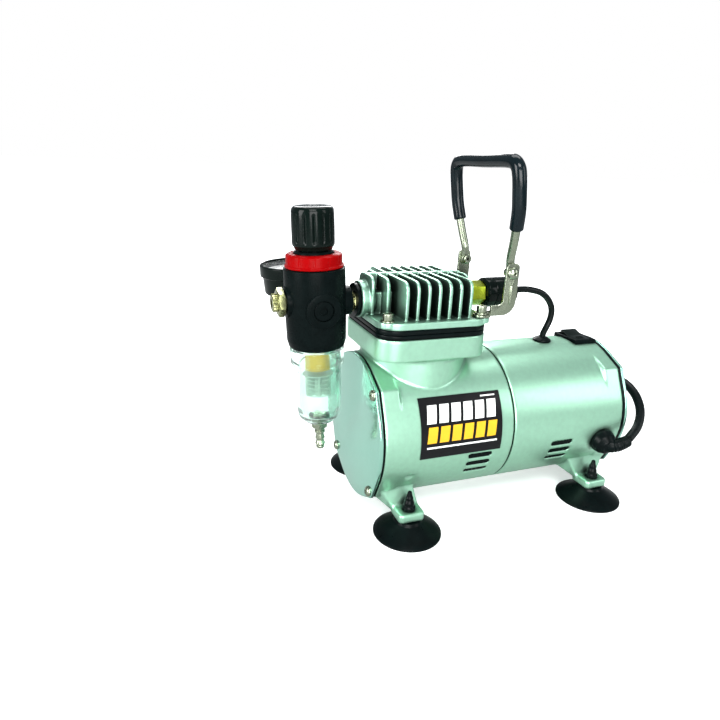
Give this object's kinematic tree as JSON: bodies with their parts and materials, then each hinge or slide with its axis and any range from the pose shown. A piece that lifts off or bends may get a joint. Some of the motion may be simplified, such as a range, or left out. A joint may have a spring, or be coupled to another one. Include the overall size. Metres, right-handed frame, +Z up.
{
  "type": "airbrush air compressor",
  "caption": "Small oil-less piston air compressor on suction cups, with finned head, filter-regulator and gauge, pressure switch, folding handle, rocker switch and coiled mains lead.",
  "frame": {"origin": "centre of the footprint of the compressor without its loose lead, at floor level", "axes": "+X along the motor shaft from the crankcase end to the motor end, +Y from the cord gland's side to the other side, +Z up"},
  "size_m": [0.2612, 0.1995, 0.2324],
  "materials": {
    "cast_alloy": "satin silver-green cast",
    "cover_alloy": "satin",
    "machined_alloy": "machined",
    "zinc_steel": "zinc plated",
    "brass": "satin",
    "black_plastic": "gloss",
    "black_rubber": "satin",
    "red_plastic": "gloss",
    "clear_plastic": "clear",
    "sintered_bronze": "matt sintered",
    "dial_white": "matt",
    "laminations": "stacked sheet"
  },
  "bodies": {
    "compressor": {"cord_coil": "black_rubber", "cord_gland": "black_rubber", "cord_plug": "black_rubber", "crankcase_housing": "cast_alloy", "cylinder_head": "cast_alloy", "cylinder_liner": "machined_alloy", "drain_nut": "zinc_steel", "filter_bowl": "clear_plastic", "filter_element": "sintered_bronze", "front_bearing": "zinc_steel", "front_cover": "cover_alloy", "front_cover_screw_1": "zinc_steel", "front_cover_screw_2": "zinc_steel", "front_cover_screw_3": "zinc_steel", "front_cover_screw_4": "zinc_steel", "front_gasket": "black_rubber", "gauge_case": "black_plastic", "gauge_dial": "dial_white", "handle_bracket_back": "zinc_steel", "handle_bracket_front": "zinc_steel", "handle_rivet_back": "zinc_steel", "handle_rivet_front": "zinc_steel", "head_bolt_1": "zinc_steel", "head_bolt_2": "zinc_steel", "head_bolt_3": "zinc_steel", "head_bolt_4": "zinc_steel", "head_gasket": "black_rubber", "lead_grommet": "black_rubber", "motor_housing": "cast_alloy", "motor_stator": "laminations", "outlet_fitting": "brass", "panel_ring": "red_plastic", "power_cord": "black_rubber", "pressure_switch": "black_plastic", "pressure_switch_nut": "brass", "rear_bearing": "zinc_steel", "rear_cover": "cover_alloy", "rear_gasket": "black_rubber", "regulator_body": "black_plastic", "regulator_nipple": "brass", "rocker_bezel": "black_plastic", "spring_bonnet": "black_plastic", "suction_cup_left_back": "black_rubber", "suction_cup_left_front": "black_rubber", "suction_cup_right_back": "black_rubber", "suction_cup_right_front": "black_rubber", "switch_lead": "black_rubber", "valve_plate": "machined_alloy"},
    "handle": {"handle_bail": "zinc_steel", "handle_grip": "black_rubber"},
    "motor": {"motor_shaft": "zinc_steel", "motor_rotor": "laminations", "cooling_fan": "black_plastic", "crank_disc": "machined_alloy"},
    "rod": {"connecting_rod": "machined_alloy"},
    "screw": {"adjusting_screw": "zinc_steel"},
    "knob": {"regulator_knob": "black_plastic"},
    "rocker": {"rocker_button": "black_plastic"},
    "drain": {"drain_valve": "zinc_steel"},
    "needle": {"gauge_needle": "black_plastic"}
  },
  "joints": [
    {"name": "handle_fold", "type": "hinge", "parent": "compressor", "child": "handle", "pos_m": [0.02267, -0.00325, 0.1626], "axis": [0, 1, 0], "range_deg": [0, 100]},
    {"name": "motor_spin", "type": "hinge", "parent": "compressor", "child": "motor", "pos_m": [-0.01733, -0.00325, 0.0585], "axis": [1, 0, 0], "continuous": true},
    {"name": "rod_pivot", "type": "hinge", "parent": "motor", "child": "rod", "pos_m": [-0.02783, 0.00075, 0.0585], "axis": [1, 0, 0], "continuous": true},
    {"name": "knob_turn", "type": "hinge", "parent": "compressor", "child": "screw", "pos_m": [-0.09641, -0.00325, 0.17436], "axis": [-0.0489, 0, 0.9988], "range_deg": [-720, 720]},
    {"name": "knob_lift", "type": "slide", "parent": "screw", "child": "knob", "axis": [-0.0489, 0, 0.9988], "range_m": [0, 0.003]},
    {"name": "rocker_tilt", "type": "hinge", "parent": "compressor", "child": "rocker", "pos_m": [0.10627, -0.00275, 0.1072], "axis": [1, 0, 0], "range_deg": [-20, 0]},
    {"name": "drain_turn", "type": "hinge", "parent": "compressor", "child": "drain", "pos_m": [-0.09098, -0.00325, 0.06329], "axis": [-0.0489, 0, 0.9988], "range_deg": [0, 360]},
    {"name": "needle_turn", "type": "hinge", "parent": "compressor", "child": "needle", "pos_m": [-0.09437, 0.04675, 0.15304], "axis": [0.0489, 0, -0.9988], "range_deg": [0, 270], "stiffness_Nm_per_rad": 0.0002}
  ],
  "couplings": [
    {"joint": "rod_pivot", "follows": "motor_spin", "ratio": -1}
  ]
}
